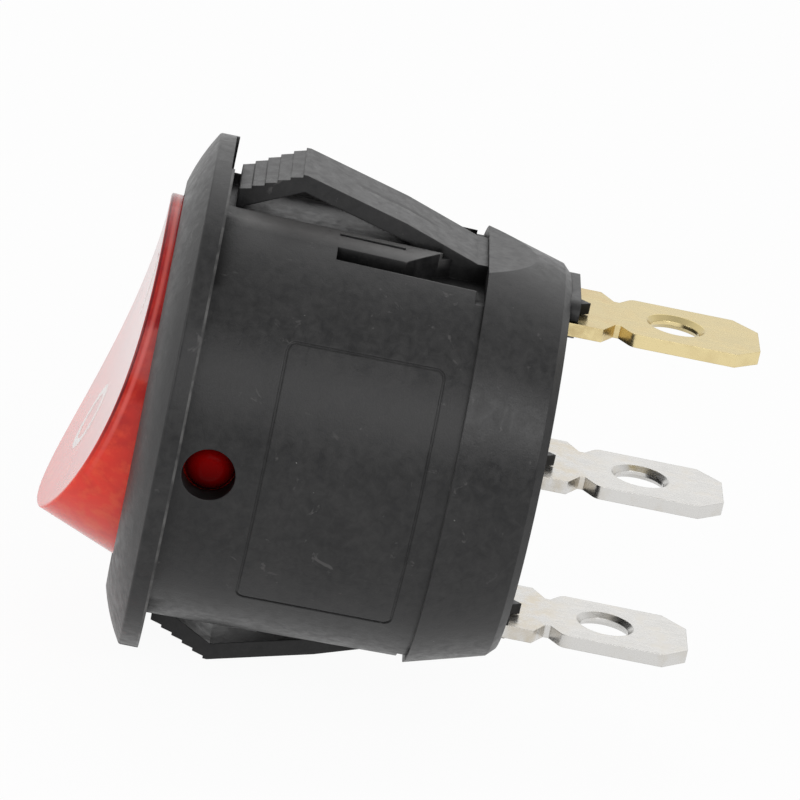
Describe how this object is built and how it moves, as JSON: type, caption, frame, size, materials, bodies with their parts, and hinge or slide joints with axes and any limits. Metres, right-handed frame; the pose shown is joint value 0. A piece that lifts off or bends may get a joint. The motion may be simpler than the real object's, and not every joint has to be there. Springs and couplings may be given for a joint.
{
  "type": "panel rocker switch",
  "caption": "Round illuminated on-off rocker switch that snaps into a panel hole, with a red rocker, two spring latches and three flat tabs at the back.",
  "frame": {"origin": "centre of the bezel's back face, where it sits on the panel", "axes": "+Y along the switch axis from the panel to the tabs, +Z towards the lamp tab, X along the rocker's pivot"},
  "size_m": [0.023, 0.0298, 0.023],
  "materials": {
    "housing": "black nylon moulding, fine satin",
    "rocker": "translucent red moulding, polished",
    "silver_plate": "silver or tin plated, slightly dull",
    "brass_plate": "bright rolled brass",
    "contact_metal": "turned silver alloy",
    "bar_metal": "rolled copper alloy strip",
    "plunger": "turned brass",
    "spring_steel": "drawn spring wire",
    "lamp_glass": "clear glass",
    "lamp_metal": "nickel rod",
    "lead_wire": "tinned wire",
    "wire_sleeve": "soft white sleeve",
    "resistor": "tan lacquer"
  },
  "bodies": {
    "housing_body": {"housing": "housing", "supply_terminal": "silver_plate", "load_terminal": "silver_plate", "lamp_terminal": "brass_plate", "fixed_contact": "contact_metal", "lamp_spring": "spring_steel"},
    "rocker_body": {"rocker": "rocker", "lamp_bulb": "lamp_glass", "lamp_electrodes": "lamp_metal", "lamp_lead": "lead_wire", "link_wire": "lead_wire", "resistor_lead": "lead_wire", "wire_sleeve": "wire_sleeve", "resistor": "resistor", "plunger_spring": "spring_steel"},
    "contact_body": {"contact_bar": "bar_metal", "moving_contact": "contact_metal"},
    "plunger_body": {"plunger": "plunger"}
  },
  "joints": [
    {"name": "rocker_pivot", "type": "hinge", "parent": "housing_body", "child": "rocker_body", "pos_m": [0, 0.0014, 0], "axis": [1, 0, 0], "range_deg": [0, 25], "deforming": ["lamp_spring"]},
    {"name": "contact_rock", "type": "hinge", "parent": "housing_body", "child": "contact_body", "pos_m": [0, 0.0108, 0], "axis": [1, 0, 0], "range_deg": [-16, 0]},
    {"name": "plunger_slide", "type": "slide", "parent": "rocker_body", "child": "plunger_body", "axis": [0, -0.9763, 0.2164], "range_m": [0, 0.0006], "stiffness_N_per_m": 200, "springref_m": -0.002, "deforming": ["plunger_spring"]}
  ],
  "couplings": [
    {"joint": "contact_rock", "follows": "rocker_pivot", "ratio": -0.64}
  ]
}
